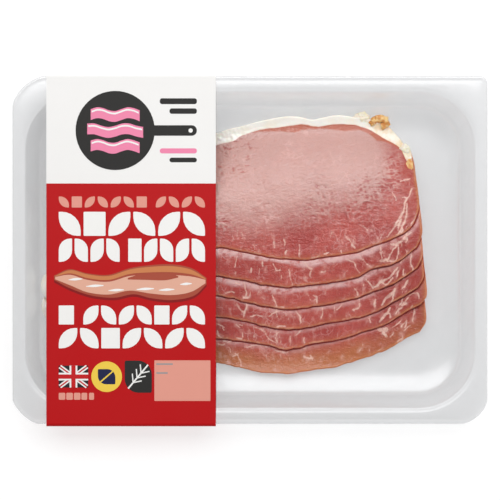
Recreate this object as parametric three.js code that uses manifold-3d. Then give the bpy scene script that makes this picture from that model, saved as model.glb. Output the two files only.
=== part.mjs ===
// A chilled pack of six back bacon rashers: a clear formed tray, the clear peel film sealed over it,
// the rashers laid like roof tiles in it, and a printed card band slipped round one end.
// Millimetres, +Z up. The origin is on the table, under the middle of the pack, and the rashers'
// fat edges face +Y.

import * as THREE from "three";
import { mergeVertices } from "three/addons/utils/BufferGeometryUtils.js";
import Module from "manifold-3d";

const wasm = await Module();
wasm.setup();

// Driving sizes of the pack
const PACK_LENGTH = 245; // over the tray's rim, along X
const PACK_WIDTH = 179.5; // over the tray's rim, along Y
const TRAY_HEIGHT = 20; // from under the floor to the top of the rim
const WALL = 0.45; // thickness of the formed plastic
const REST_GAP = 0.15; // between flat pieces that lie on each other

// The card band
const CARD = 0.45;
const BAND_LENGTH = 87.4; // along X
const BAND_CENTRE_X = -61.3;
const BAND_WIDTH = 182; // over its sides, which stand a little off the rim
const BAND_EDGE = 1.9; // height of the upright strip that goes past the rim
const BAND_FOOT_WIDTH = 143; // between the two lower folds
const FOLD_RADIUS = 0.9;

// The tray: its cavity, and the rim round it
const END_RIM = 6.6; // width of the rim at the two short sides
const SIDE_RIM = 8.3; // width of the rim at the two long sides
const CAVITY_RADIUS = 29; // corner of the cavity, seen from above
const DRAFT = THREE.MathUtils.degToRad(23.5); // lean of the walls
const FLOOR_RADIUS = 12; // where wall turns into floor
const STEP_WIDTH = 2; // the sloped step between the seal land and the cavity
const STEP_DROP = 0.5;
const CORNER_STEPS = 8;
const FILLET_STEPS = 5;

// The rim's four corners, anticlockwise from +X +Y: how far each reaches along X and Y, and its
// roundness, where 2 is a true arc and 1 a straight cut. The first is the square peel corner.
const RIM_CORNERS = [
  { alongX: 4, alongY: 4, roundness: 2 },
  { alongX: 17, alongY: 16, roundness: 1.65 },
  { alongX: 13, alongY: 12.5, roundness: 1.4 },
  { alongX: 13.5, alongY: 12.5, roundness: 1.65 },
];

const FILM = 0.2;

// The rashers
const SLICE = 2.8; // thickness of a rasher
const SLICE_GAP = 0.3; // between a rasher and the one that it lies on
const DRAPE_HOLD = 5; // how far past an edge a rasher still lies as high as on it
const DRAPE_FALL = 9; // the length over which it then sinks one thickness
const CELL_X = 8; // the net that all rashers are draped on
const CELL_Y = 4.5;
const OUTLINE_STEPS = 66;
const UNEVEN = 1.1; // how far a point of an outline strays, either way

// A rasher's outline, anticlockwise from the end of the round eye: the shoulder, the long fat
// edge over to the tip of the tail, and back along the lean edge. The places are the top one's.
const RASHER_OUTLINE = [
  [87, 23],
  [84, 49],
  [69.5, 64],
  [46, 68.5],
  [21, 69.5],
  [-17, 61],
  [-66, 42],
  [-98, 20],
  [-107, 5],
  [-96, -4],
  [-52, -3],
  [-17, 0.5],
  [21, -5.5],
  [60, 1],
  [80, 9.5],
];

// How far each rasher lies from the top one, from the bottom of the stack upwards.
const LAID_AT = [
  [2.6, -58.9],
  [2.4, -45.7],
  [1.8, -35.5],
  [1.2, -24.9],
  [0.8, -13.6],
  [0, 0],
];

// Tags of fat and rind that stick out past the top rasher's fat edge: middle and half sizes.
const RIND_TAGS = [
  { name: "pale tag", at: [58.5, 68.5], size: [5, 3.6, 1.1] },
  { name: "amber curl", at: [68.5, 66], size: [5.2, 4.2, 1.6] },
  { name: "shoulder tag", at: [82.5, 52.5], size: [3, 3.4, 1.2] },
];

const TRAY_UNDERSIDE = CARD + REST_GAP;
const FLOOR_TOP = TRAY_UNDERSIDE + WALL;
const RIM_TOP = TRAY_UNDERSIDE + TRAY_HEIGHT;
const CAVITY_HALF_X = PACK_LENGTH / 2 - END_RIM;
const CAVITY_HALF_Y = PACK_WIDTH / 2 - SIDE_RIM;

// Turns a geometry into a closed solid with shared vertices.
function solidOf(geometry) {
  const bare = geometry.clone();
  bare.deleteAttribute("normal");
  bare.deleteAttribute("uv");
  const merged = mergeVertices(bare, 1e-4);
  return new wasm.Manifold(
    new wasm.Mesh({
      numProp: 3,
      vertProperties: new Float32Array(merged.attributes.position.array),
      triVerts: new Uint32Array(merged.index.array),
    }),
  );
}

function geometryOf(solid) {
  const { vertProperties, triVerts } = solid.getMesh();
  const geometry = new THREE.BufferGeometry();
  geometry.setAttribute("position", new THREE.BufferAttribute(vertProperties, 3));
  geometry.setIndex(new THREE.BufferAttribute(triVerts, 1));
  geometry.computeVertexNormals();
  return geometry;
}

// A rectangle with its own curve at each corner, as points anticlockwise from +X.
function roundedRing(halfX, halfY, corners) {
  const points = [];
  corners.forEach(({ alongX, alongY, roundness }, quarter) => {
    const signX = quarter === 0 || quarter === 3 ? 1 : -1;
    const signY = quarter < 2 ? 1 : -1;
    for (let i = 0; i <= CORNER_STEPS; i++) {
      const angle = ((quarter + i / CORNER_STEPS) * Math.PI) / 2;
      const x = Math.abs(Math.cos(angle)) ** (2 / roundness);
      const y = Math.abs(Math.sin(angle)) ** (2 / roundness);
      points.push(
        new THREE.Vector2(
          signX * (halfX - alongX + alongX * x),
          signY * (halfY - alongY + alongY * y),
        ),
      );
    }
  });
  return points;
}

function rimRing() {
  return roundedRing(PACK_LENGTH / 2, PACK_WIDTH / 2, RIM_CORNERS);
}

// The cavity's outline, moved inwards by inset.
function cavityRing(inset) {
  const reach = CAVITY_RADIUS - inset;
  const corner = { alongX: reach, alongY: reach, roundness: 2 };
  return roundedRing(
    CAVITY_HALF_X - inset,
    CAVITY_HALF_Y - inset,
    Array(4).fill(corner),
  );
}

// The inside of the tray from floor to rim, as [inset from the cavity's edge, height].
function insideProfile() {
  const edge = RIM_TOP - STEP_DROP;
  const sweep = Math.PI / 2 - DRAFT;
  const floorInset =
    (edge - FLOOR_TOP) * Math.tan(DRAFT) + FLOOR_RADIUS * Math.tan(sweep / 2);
  const profile = [];
  for (let i = 0; i <= FILLET_STEPS; i++) {
    const turn = (sweep * i) / FILLET_STEPS;
    profile.push(
      new THREE.Vector2(
        floorInset - FLOOR_RADIUS * Math.sin(turn),
        FLOOR_TOP + FLOOR_RADIUS * (1 - Math.cos(turn)),
      ),
    );
  }
  profile.push(new THREE.Vector2(0, edge));
  profile.push(new THREE.Vector2(-STEP_WIDTH, RIM_TOP));
  return profile;
}

// The same profile one wall thickness further out, level at both ends.
function outsideProfile(inside) {
  return inside.map((point, i) => {
    const before = inside[Math.max(i - 1, 0)];
    const after = inside[Math.min(i + 1, inside.length - 1)];
    const level = i === 0 || i === inside.length - 1;
    const along = level
      ? new THREE.Vector2(-1, 0)
      : after.clone().sub(before).normalize();
    return new THREE.Vector2(
      point.x - along.y * WALL,
      point.y + along.x * WALL,
    );
  });
}

// Skins a stack of rings into a closed body, with a fan over the first and the last.
function loft(rings) {
  const count = rings[0].length;
  const positions = rings.flat().flatMap((p) => [p.x, p.y, p.z]);
  const indices = [];
  for (let ring = 0; ring + 1 < rings.length; ring++) {
    for (let i = 0; i < count; i++) {
      const here = ring * count + i;
      const next = ring * count + ((i + 1) % count);
      indices.push(here, next, here + count, next, next + count, here + count);
    }
  }
  for (const end of [0, rings.length - 1]) {
    const middle = positions.length / 3;
    positions.push(0, 0, rings[end][0].z);
    for (let i = 0; i < count; i++) {
      const here = end * count + i;
      const next = end * count + ((i + 1) % count);
      indices.push(...(end === 0 ? [middle, next, here] : [middle, here, next]));
    }
  }
  const geometry = new THREE.BufferGeometry();
  geometry.setAttribute("position", new THREE.Float32BufferAttribute(positions, 3));
  geometry.setIndex(indices);
  return geometry;
}

function atHeight(ring, z) {
  return ring.map((p) => new THREE.Vector3(p.x, p.y, z));
}

function trayGeometry() {
  const inside = insideProfile();
  const outside = outsideProfile(inside);
  const toRings = (profile) => profile.map((p) => atHeight(cavityRing(p.x), p.y));
  return loft([
    ...toRings(outside),
    atHeight(rimRing(), RIM_TOP - WALL),
    atHeight(rimRing(), RIM_TOP),
    ...toRings(inside).reverse(),
  ]);
}

function filmGeometry() {
  const shape = new THREE.Shape(rimRing());
  return new THREE.ExtrudeGeometry(shape, { depth: FILM, bevelEnabled: false });
}

// A closed path through the corners, each rounded off with a curve.
function foldedPath(corners, radius, path) {
  corners.forEach((corner, i) => {
    const before = corners[(i + corners.length - 1) % corners.length];
    const after = corners[(i + 1) % corners.length];
    const start = corner.clone().add(before.clone().sub(corner).setLength(radius));
    const end = corner.clone().add(after.clone().sub(corner).setLength(radius));
    if (i === 0) path.moveTo(start.x, start.y);
    else path.lineTo(start.x, start.y);
    path.quadraticCurveTo(corner.x, corner.y, end.x, end.y);
  });
  path.closePath();
  return path;
}

// The band's section across the pack: flat over the film and under the tray, upright past the
// rim, and then sloping in to the foot. Its two faces are one card thickness apart.
function bandGeometry() {
  const top = RIM_TOP + REST_GAP + FILM + REST_GAP + CARD;
  const section = (inward) => [
    new THREE.Vector2(-BAND_FOOT_WIDTH / 2 + inward, inward),
    new THREE.Vector2(BAND_FOOT_WIDTH / 2 - inward, inward),
    new THREE.Vector2(BAND_WIDTH / 2 - inward, top - BAND_EDGE),
    new THREE.Vector2(BAND_WIDTH / 2 - inward, top - inward),
    new THREE.Vector2(-BAND_WIDTH / 2 + inward, top - inward),
    new THREE.Vector2(-BAND_WIDTH / 2 + inward, top - BAND_EDGE),
  ];
  const shape = foldedPath(section(0), FOLD_RADIUS, new THREE.Shape());
  shape.holes.push(foldedPath(section(CARD), FOLD_RADIUS - CARD, new THREE.Path()));
  const geometry = new THREE.ExtrudeGeometry(shape, {
    depth: BAND_LENGTH,
    bevelEnabled: false,
    curveSegments: 4,
  });
  // The section's own x and y become Y and Z, and the extrusion runs along X.
  geometry.applyMatrix4(
    new THREE.Matrix4().makeBasis(
      new THREE.Vector3(0, 1, 0),
      new THREE.Vector3(0, 0, 1),
      new THREE.Vector3(1, 0, 0),
    ),
  );
  return geometry.translate(BAND_CENTRE_X - BAND_LENGTH / 2, 0, 0);
}

// The outline of one rasher, each point of the shared outline moved a little by a seeded draw.
function rasherOutline(layer) {
  const stray = (seed) => UNEVEN * (2 * THREE.MathUtils.seededRandom(seed) - 1);
  const [shiftX, shiftY] = LAID_AT[layer];
  const corners = RASHER_OUTLINE.map(
    ([x, y], i) =>
      new THREE.Vector3(
        x + shiftX + stray(100 * layer + 2 * i + 1),
        y + shiftY + stray(100 * layer + 2 * i + 2),
        0,
      ),
  );
  const curve = new THREE.CatmullRomCurve3(corners, true, "centripetal");
  return curve.getSpacedPoints(OUTLINE_STEPS).slice(0, -1);
}

// Distance from a point to an outline: positive outside it, negative inside.
function distanceOutside(outline, x, y) {
  let nearest = Infinity;
  let inside = false;
  outline.forEach((a, i) => {
    const b = outline[(i + 1) % outline.length];
    const alongX = b.x - a.x;
    const alongY = b.y - a.y;
    const share = ((x - a.x) * alongX + (y - a.y) * alongY) / (alongX ** 2 + alongY ** 2);
    const held = THREE.MathUtils.clamp(share, 0, 1);
    nearest = Math.min(
      nearest,
      Math.hypot(x - a.x - held * alongX, y - a.y - held * alongY),
    );
    const crosses = a.y > y !== b.y > y && x < a.x + (alongX * (y - a.y)) / alongY;
    if (crosses) inside = !inside;
  });
  return inside ? -nearest : nearest;
}

// Height of the tray's inner face: the flat floor, then the fillet up to the wall.
function trayFloorAt(x, y) {
  const cornerX = Math.max(Math.abs(x) - (CAVITY_HALF_X - CAVITY_RADIUS), 0);
  const cornerY = Math.max(Math.abs(y) - (CAVITY_HALF_Y - CAVITY_RADIUS), 0);
  const inset = CAVITY_RADIUS - Math.hypot(cornerX, cornerY);
  const climb = THREE.MathUtils.clamp(
    insideProfile()[0].x - inset,
    0,
    FLOOR_RADIUS * Math.cos(DRAFT),
  );
  return FLOOR_TOP + FLOOR_RADIUS - Math.sqrt(FLOOR_RADIUS ** 2 - climb ** 2);
}

const outlines = LAID_AT.map((_, layer) => rasherOutline(layer));

// Height of a rasher's underside: the tray's floor, and one step up for each rasher beneath.
function undersideAt(layer, x, y) {
  const steps = outlines.slice(0, layer).map((outline) => {
    const past = distanceOutside(outline, x, y) - DRAPE_HOLD;
    return 1 - THREE.MathUtils.smoothstep(past, 0, DRAPE_FALL);
  });
  const raised = steps.reduce((sum, step) => sum + step, 0);
  return trayFloorAt(x, y) + SLICE_GAP + raised * (SLICE + SLICE_GAP);
}

// A net over the whole cavity, one slice thick, draped as this rasher lies. Its two faces share
// their folds, so that one rasher lies evenly on the next.
function drapedSlab(layer) {
  const cellsX = Math.ceil(CAVITY_HALF_X / CELL_X) * 2;
  const cellsY = Math.ceil(CAVITY_HALF_Y / CELL_Y) * 2;
  const net = new THREE.PlaneGeometry(cellsX * CELL_X, cellsY * CELL_Y, cellsX, cellsY);
  const knots = net.attributes.position;
  const under = [];
  const over = [];
  for (let i = 0; i < knots.count; i++) {
    const [x, y] = [knots.getX(i), knots.getY(i)];
    const z = undersideAt(layer, x, y);
    under.push(x, y, z);
    over.push(x, y, z + SLICE);
  }

  const knotAt = (column, row) => row * (cellsX + 1) + column;
  const border = [];
  for (let row = 0; row < cellsY; row++) border.push(knotAt(0, row));
  for (let column = 0; column < cellsX; column++) border.push(knotAt(column, cellsY));
  for (let row = cellsY; row > 0; row--) border.push(knotAt(cellsX, row));
  for (let column = cellsX; column > 0; column--) border.push(knotAt(column, 0));

  const face = Array.from(net.index.array);
  const indices = [...face.map((knot) => knot + knots.count), ...face.reverse()];
  border.forEach((here, i) => {
    const next = border[(i + 1) % border.length];
    indices.push(here, next, next + knots.count);
    indices.push(here, next + knots.count, here + knots.count);
  });
  const slab = new THREE.BufferGeometry();
  const positions = new THREE.Float32BufferAttribute([...under, ...over], 3);
  slab.setAttribute("position", positions);
  slab.setIndex(indices);
  return slab;
}

// One scrap of fat or rind, as a flattened ball on the rasher's edge.
function tagSolid(layer, { at, size }) {
  const ball = new THREE.SphereGeometry(1, 14, 8);
  ball.scale(...size);
  const [x, y] = at;
  const z = undersideAt(layer, x, y + size[1]) + size[2];
  return solidOf(ball.translate(x, y, z));
}

function rasherGeometry(layer) {
  const prism = new THREE.ExtrudeGeometry(
    new THREE.Shape(outlines[layer].map((p) => new THREE.Vector2(p.x, p.y))),
    { depth: 2 * TRAY_HEIGHT, bevelEnabled: false },
  );
  let solid = solidOf(drapedSlab(layer)).intersect(solidOf(prism));
  if (layer === LAID_AT.length - 1) {
    for (const tag of RIND_TAGS) solid = solid.add(tagSolid(layer, tag));
  }
  return geometryOf(solid);
}

const clearPlastic = new THREE.MeshStandardMaterial({
  color: 0xdcdcde,
  roughness: 0.15,
  metalness: 0,
  transparent: true,
  opacity: 0.4,
});
const clearFilm = new THREE.MeshStandardMaterial({
  color: 0xf4f4f6,
  roughness: 0.1,
  metalness: 0,
  transparent: true,
  opacity: 0.15,
});
const printedCard = new THREE.MeshStandardMaterial({
  color: 0xb71f22,
  roughness: 0.45,
  metalness: 0,
});
const curedPork = new THREE.MeshStandardMaterial({
  color: 0xc4736c,
  roughness: 0.35,
  metalness: 0,
});

function piece(name, geometry, material) {
  const mesh = new THREE.Mesh(geometry, material);
  mesh.name = name;
  return mesh;
}

const pack = new THREE.Group();
pack.name = "bacon_pack";
pack.add(piece("tray", trayGeometry(), clearPlastic));
LAID_AT.forEach((_, layer) => {
  pack.add(piece(`rasher_${layer + 1}`, rasherGeometry(layer), curedPork));
});
const film = piece("lid_film", filmGeometry(), clearFilm);
film.position.z = RIM_TOP + REST_GAP;
pack.add(film);
pack.add(piece("sleeve", bandGeometry(), printedCard));

export default pack;
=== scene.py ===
import math

import bmesh
import bpy
import numpy as np
from mathutils import Matrix, Vector, noise


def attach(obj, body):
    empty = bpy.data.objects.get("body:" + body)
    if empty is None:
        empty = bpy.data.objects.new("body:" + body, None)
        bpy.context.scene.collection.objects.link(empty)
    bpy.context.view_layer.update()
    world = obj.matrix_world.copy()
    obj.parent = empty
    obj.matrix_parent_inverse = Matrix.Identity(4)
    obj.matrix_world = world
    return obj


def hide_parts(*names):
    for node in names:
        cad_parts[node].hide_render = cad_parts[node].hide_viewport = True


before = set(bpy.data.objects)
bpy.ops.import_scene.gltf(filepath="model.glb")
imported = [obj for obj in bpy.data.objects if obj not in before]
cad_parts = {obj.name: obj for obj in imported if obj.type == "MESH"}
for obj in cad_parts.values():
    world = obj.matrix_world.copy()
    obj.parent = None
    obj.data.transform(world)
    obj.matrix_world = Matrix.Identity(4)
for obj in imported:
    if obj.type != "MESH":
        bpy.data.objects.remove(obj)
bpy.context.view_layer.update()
scene = bpy.context.scene
scene.view_settings.view_transform = "Standard"

# The table top is a plain white board, lit by two broad soft panels behind the pack, one high and
# one low, a small one at its side and a bright room. The camera hangs over the pack on a long lens.


def new_finish(name):
    finish = bpy.data.materials.new(name)
    finish.use_nodes = True
    finish.node_tree.nodes.clear()
    return finish, finish.node_tree


def feed(tree, socket, value):
    """Wires a socket to another one, or gives it a value."""
    if isinstance(value, bpy.types.NodeSocket):
        tree.links.new(value, socket)
    elif socket.type == "RGBA" and len(value) == 3:
        socket.default_value = (*value, 1)
    else:
        socket.default_value = value


def add(tree, kind, settings=None, **inputs):
    """A shader node with its settings and inputs."""
    made = tree.nodes.new("ShaderNode" + kind)
    for key, value in (settings or {}).items():
        setattr(made, key, value)
    for key, value in inputs.items():
        feed(tree, made.inputs[key.replace("_", " ")], value)
    return made


def mesh_of(name, form, smooth=True):
    """Turns a bmesh into a mesh and frees it."""
    mesh = bpy.data.meshes.new(name)
    form.to_mesh(mesh)
    form.free()
    mesh.polygons.foreach_set("use_smooth", [smooth] * len(mesh.polygons))
    return mesh


board_white, tree = new_finish("white_board")
board_grain = add(tree, "TexNoise", Scale=220.0, Detail=3.0)
board_tone = add(tree, "ValToRGB", Fac=board_grain.outputs["Fac"])
for stop, grey in zip(board_tone.color_ramp.elements, (0.36, 0.39)):
    stop.color = (grey, grey, grey, 1)
board_paint = add(
    tree, "BsdfPrincipled", Base_Color=board_tone.outputs["Color"], Roughness=0.9,
    Emission_Color=(1, 1, 1), Emission_Strength=0.67,
)
add(tree, "OutputMaterial", Surface=board_paint.outputs["BSDF"])

board = bmesh.new()
bmesh.ops.create_grid(board, x_segments=4, y_segments=4, size=3.0)
bmesh.ops.translate(board, verts=board.verts, vec=(0, 0, -0.0001))
table_top = bpy.data.objects.new("table_top", mesh_of("table_top", board))
table_top.data.materials.append(board_white)
scene.collection.objects.link(table_top)

room = bpy.data.worlds.new("bright_room")
room.use_nodes = True
glow = room.node_tree.nodes["Background"].inputs
glow["Color"].default_value = (1, 1, 1, 1)
glow["Strength"].default_value = 0.34
scene.world = room


def soft_panel(name, place, wide, deep, power):
    lamp = bpy.data.lights.new(name, "AREA")
    lamp.shape = "RECTANGLE"
    lamp.size, lamp.size_y, lamp.energy = wide, deep, power
    held = bpy.data.objects.new(name, lamp)
    held.location = place
    held.rotation_euler = (-Vector(place)).to_track_quat("-Z", "Y").to_euler()
    scene.collection.objects.link(held)


soft_panel("window_panel", (0.0, 0.66, 1.16), 1.6, 0.9, 15.5)
soft_panel("back_panel", (0.0, 1.3, 0.38), 1.6, 0.75, 4.0)
soft_panel("side_panel", (1.05, -0.55, 0.9), 0.8, 0.9, 5.0)

PIXEL_PITCH = 0.0005158  # metres of the pack's top for one pixel of the frame
FRAME_PIXELS = 500
FILM_BACK = 36
RIM_LEVEL = 0.0206
CAMERA_RISE = 1.6
lens_of_camera = bpy.data.cameras.new("camera")
lens_of_camera.sensor_width = FILM_BACK
lens_of_camera.lens = FILM_BACK * CAMERA_RISE / (FRAME_PIXELS * PIXEL_PITCH)
lens_of_camera.clip_end = 20
camera = bpy.data.objects.new("camera", lens_of_camera)
camera.location = (0, 0, RIM_LEVEL + CAMERA_RISE)
scene.collection.objects.link(camera)
scene.camera = camera

# The tray is one sheet of clear plastic, drawn hot into a shallow mould, so its floor runs into its
# walls on a wide curve. A flat land round the cavity takes the film's seal, a low bead runs round
# it, and a narrow step follows the cavity's edge.
PACK_HALF = (0.1225, 0.08975)
CAVITY_HALF = (0.1159, 0.08145)
CAVITY_CORNER = 0.029
TRAY_FOOT = 0.0006
SHEET = 0.00045
FLOOR_TOP = TRAY_FOOT + SHEET
DRAFT = math.radians(23.5)
FLOOR_CURVE, FLOOR_TURN = 0.028, math.radians(25)
HEEL_CURVE = 0.004
CURVE_STEPS = 20
STEP_DROP = 0.0005
RIM_CORNERS = [  # reach along X and Y, and roundness, anticlockwise from +X +Y
    (0.004, 0.004, 2),
    (0.017, 0.016, 1.65),
    (0.013, 0.0125, 1.4),
    (0.0135, 0.0125, 1.65),
]
CORNER_STEPS = 18
SIDE_STEPS = 24


def ring(half_x, half_y, corners):
    """A rectangle with its own curve at each corner, anticlockwise from +X."""
    points = []
    for quarter, (reach_x, reach_y, roundness) in enumerate(corners):
        side_x = 1 if quarter in (0, 3) else -1
        side_y = 1 if quarter < 2 else -1
        bend = []
        for i in range(CORNER_STEPS + 1):
            angle = (quarter + i / CORNER_STEPS) * math.pi / 2
            x = max(abs(math.cos(angle)), 1e-9) ** (2 / roundness)
            y = max(abs(math.sin(angle)), 1e-9) ** (2 / roundness)
            bend.append((
                side_x * (half_x - reach_x + reach_x * x),
                side_y * (half_y - reach_y + reach_y * y),
            ))
        points.append(bend)
    around = []
    for bend, following in zip(points, points[1:] + points[:1]):
        around += bend
        for i in range(1, SIDE_STEPS):
            share = i / SIDE_STEPS
            around.append([a + (b - a) * share for a, b in zip(bend[-1], following[0])])
    return np.array(around)


def rim_ring(shrink):
    corners = [(max(a - shrink, 2e-4), max(b - shrink, 2e-4), r) for a, b, r in RIM_CORNERS]
    return ring(PACK_HALF[0] - shrink, PACK_HALF[1] - shrink, corners)


def cavity_ring(inset):
    reach = CAVITY_CORNER - inset
    return ring(CAVITY_HALF[0] - inset, CAVITY_HALF[1] - inset, [(reach, reach, 2)] * 4)


def sheet_from_rings(rings, heights):
    """Folds a flat grid round the pack, ring by ring, and closes it in the middle."""
    form = bmesh.new()
    count, rows = len(rings[0]), len(rings)
    bmesh.ops.create_grid(form, x_segments=count, y_segments=rows - 1, size=1)
    for vert in form.verts:
        i = round((vert.co.x + 1) / 2 * count) % count
        j = round((vert.co.y + 1) / 2 * (rows - 1))
        vert.co = (*rings[j][i], heights[j])
    bmesh.ops.remove_doubles(form, verts=form.verts, dist=1e-6)
    reach = abs(rings[-1]).max(0) + 1e-6
    mouth = [e for e in form.edges if e.is_boundary
             and all(abs(v.co.x) < reach[0] and abs(v.co.y) < reach[1] for v in e.verts)]
    bmesh.ops.contextual_create(form, geom=mouth)
    bmesh.ops.recalc_face_normals(form, faces=form.faces)
    widest = max(form.faces, key=lambda f: f.calc_area())
    if widest.normal.z < 0:
        bmesh.ops.reverse_faces(form, faces=form.faces)
    return form


curve_out, curve_rise = [], []
for i in range(CURVE_STEPS + 1):
    turn = (math.pi / 2 - DRAFT) * i / CURVE_STEPS
    gentle = min(turn, FLOOR_TURN)
    heel_out = HEEL_CURVE * (math.sin(turn) - math.sin(gentle))
    heel_rise = HEEL_CURVE * (math.cos(gentle) - math.cos(turn))
    curve_out.append(FLOOR_CURVE * math.sin(gentle) + heel_out)
    curve_rise.append(FLOOR_CURVE * (1 - math.cos(gentle)) + heel_rise)
floor_inset = (RIM_LEVEL - STEP_DROP - FLOOR_TOP - curve_rise[-1]) * math.tan(DRAFT) + curve_out[-1]
tray_rings = [rim_ring(s) for s in (0.0, 0.00015, 0.0005, 0.0011, 0.0018, 0.0026, 0.0034)]
tray_heights = [RIM_LEVEL + d for d in (-0.0006, -0.0002, -0.00005, 0.0, -0.00015, -0.00015, 0.0)]
for inset, drop in ((-0.0026, 0.0), (-0.0021, -0.00006), (-0.0017, -0.0002), (-0.0012, -0.00026),
                    (-0.0007, -0.00027), (-0.0003, -0.00038), (0.0001, -0.00065), (0.0005, -0.0014)):
    tray_rings.append(cavity_ring(inset))
    tray_heights.append(RIM_LEVEL + drop)
for out, rise in zip(curve_out[::-1], curve_rise[::-1]):
    tray_rings.append(cavity_ring(floor_inset - out))
    tray_heights.append(FLOOR_TOP + rise)
tray_rings.append(cavity_ring(floor_inset + 0.004))
tray_heights.append(FLOOR_TOP)


def cloud_on(tree, vector, size, detail, rough=0.5):
    return add(tree, "TexNoise", Vector=vector, Scale=size, Detail=detail, Roughness=rough).outputs["Fac"]


def span(tree, value, low, high, out_low=0.0, out_high=1.0, kind="LINEAR"):
    """A value's range stretched over another."""
    return add(tree, "MapRange", {"interpolation_type": kind}, Value=value, From_Min=low, From_Max=high,
               To_Min=out_low, To_Max=out_high).outputs["Result"]


def toned(tree, under, over, amount):
    """One colour laid over another."""
    step = add(tree, "Mix", {"data_type": "RGBA"})
    for number, value in ((0, amount), (6, under), (7, over)):
        feed(tree, step.inputs[number], value)
    return step.outputs[2]


def covered(tree, under, over, amount):
    """One finish laid over another."""
    step = add(tree, "MixShader", Fac=amount)
    tree.links.new(under.outputs[0], step.inputs[1])
    tree.links.new(over.outputs[0], step.inputs[2])
    return step


def clear_plastic(name, clear, steep, haze, gloss, bloom, roughness, ripple_size, ripple_depth):
    """Glossy see-through sheet: tinted more where it is steep, with a faint haze and draw lines."""
    finish, tree = new_finish(name)
    place = add(tree, "TexCoord").outputs["Object"]
    haze_here = span(tree, cloud_on(tree, place, 45.0, 4.0, 0.6), 0.3, 0.7, haze * 0.7, haze * 1.3)
    swell = cloud_on(tree, place, ripple_size, 2.0)
    bump = add(tree, "Bump", Height=swell, Strength=1.0, Distance=ripple_depth).outputs["Normal"]
    facing = add(tree, "LayerWeight", Blend=0.5).outputs["Facing"]
    through = add(tree, "BsdfTransparent", Color=toned(tree, clear, steep, span(tree, facing, 0.5, 1.0)))
    milk = add(tree, "BsdfDiffuse", Color=(0.82, 0.82, 0.83), Normal=bump)
    soft = add(tree, "BsdfAnisotropic", Color=(1, 1, 1), Roughness=0.42, Normal=bump)
    shine = add(tree, "BsdfAnisotropic", Color=(1, 1, 1), Roughness=roughness, Normal=bump)
    body = covered(tree, through, milk, haze_here)
    bloomed = covered(tree, body, soft, bloom)
    surface = covered(tree, bloomed, shine, span(tree, facing, 0.4, 1.0, gloss, 0.3, "SMOOTHSTEP"))
    add(tree, "OutputMaterial", Surface=surface.outputs["Shader"])
    return finish


def lay_in(name, mesh, finish, slot, *nodes):
    """Places a piece in the pack, over the plain solids it stands for. Its slot is not used."""
    laid = bpy.data.objects.new(name, mesh)
    scene.collection.objects.link(laid)
    if finish is not None:
        mesh.materials.append(finish)
    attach(laid, "root")
    if nodes:
        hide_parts(*nodes)
    return laid


def thicken(piece, name, depth, side):
    """Gives a sheet its thickness, to the inside for -1 and to the outside for 1."""
    wall = piece.modifiers.new(name, "SOLIDIFY")
    wall.thickness = depth
    wall.offset = side


formed_tray = lay_in(
    "formed_tray", mesh_of("formed_tray", sheet_from_rings(tray_rings, tray_heights)),
    clear_plastic("clear_formed_sheet", clear=(0.89, 0.89, 0.893), steep=(0.68, 0.675, 0.68), haze=0.045,
                  gloss=0.026, bloom=0.066, roughness=0.21, ripple_size=120.0, ripple_depth=0.00006),
    "clear_tray", "tray",
)
thicken(formed_tray, "sheet", SHEET, -1)

# Six rashers of smoked back bacon, each 2.8 mm thick, are laid from the front of the tray to the
# back. Each rests on the one before it and drapes over its back edge, so that a strip of every
# rasher shows below the next.
SLICE = 0.0028
SLICE_GAP = 0.0003
LAID_AT = [(4.2, -58.9), (4.4, -45.7), (2.8, -35.5), (2.0, -24.9), (1.6, -13.6), (0.0, 0.0)]
TOP = len(LAID_AT) - 1
TAIL_REACH = [-2.2, -1.3, 3.8, 3.2, -2.5, -3.8]  # how much further left each tail ends, in mm
FRONT_X = (-17.3, -2.8, 8.5, 19.9, 31.2, 42.6, 53.9, 63.7, 73.0, 80.2)
FRONT_Y = [  # the lean front edge of each rasher, in mm across the pack
    (-58.9, -61.9, -63.9, -64.4, -62.8, -61.3, -58.2, -55.0, -51.2, -46.9),
    (-46.1, -47.5, -49.3, -51.6, -49.2, -47.3, -44.4, -40.9, -37.4, -32.6),
    (-34.6, -37.1, -39.7, -41.4, -39.7, -37.6, -35.6, -32.9, -27.9, -23.6),
    (-23.5, -26.8, -29.1, -30.7, -29.4, -27.7, -25.3, -21.6, -18.2, -13.9),
    (-13.4, -15.8, -18.1, -19.2, -17.9, -16.5, -14.4, -9.7, -7.7, -3.3),
    (1.2, -0.9, -3.4, -4.8, -4.6, -3.2, -1.3, 2.2, 5.6, 8.9),
]
EYE_END = [(87.4, 22), (87.0, 30), (86.0, 38.5), (85.3, 45.5), (83.6, 52.0)]
BACK_EDGE = [(79.6, 56.2), (76.0, 60.6), (72.6, 63.6), (68.3, 66.2), (62.2, 68.0), (54.9, 69.1),
             (45.6, 70.2), (38.4, 69.0), (32.2, 67.9), (25, 69.4), (17.8, 69.4), (7, 67.5),
             (-3.9, 64.6), (-17, 61.2), (-40, 52.8), (-66, 42), (-86, 29.5), (-99, 19)]
TAIL = [(-105.5, 12), (-107, 4.5), (-103, -1.5), (-95, -4.5)]
HIDDEN_FRONT = [(-75, -4.2), (-52, -3.2), (-33, -1)]
LENGTH, WIDTH = 179.5, 62.0


def smooth_through(points, steps=10):
    """A smooth open line through the points."""
    p = np.array(points, float)
    p = np.vstack([2 * p[0] - p[1], p, 2 * p[-1] - p[-2]])
    before, here, after, beyond = p[:-3], p[1:-2], p[2:-1], p[3:]
    t = np.linspace(0, 1, steps, endpoint=False)[None, :, None]
    line = 0.5 * (2 * here[:, None] + (after - before)[:, None] * t
                  + (2 * before - 5 * here + 4 * after - beyond)[:, None] * t ** 2
                  + (3 * here - before - 3 * after + beyond)[:, None] * t ** 3)
    return np.vstack([line.reshape(-1, 2), p[-2]])


def ease(t):
    t = np.clip(t, 0, 1)
    return t * t * (3 - 2 * t)


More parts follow.
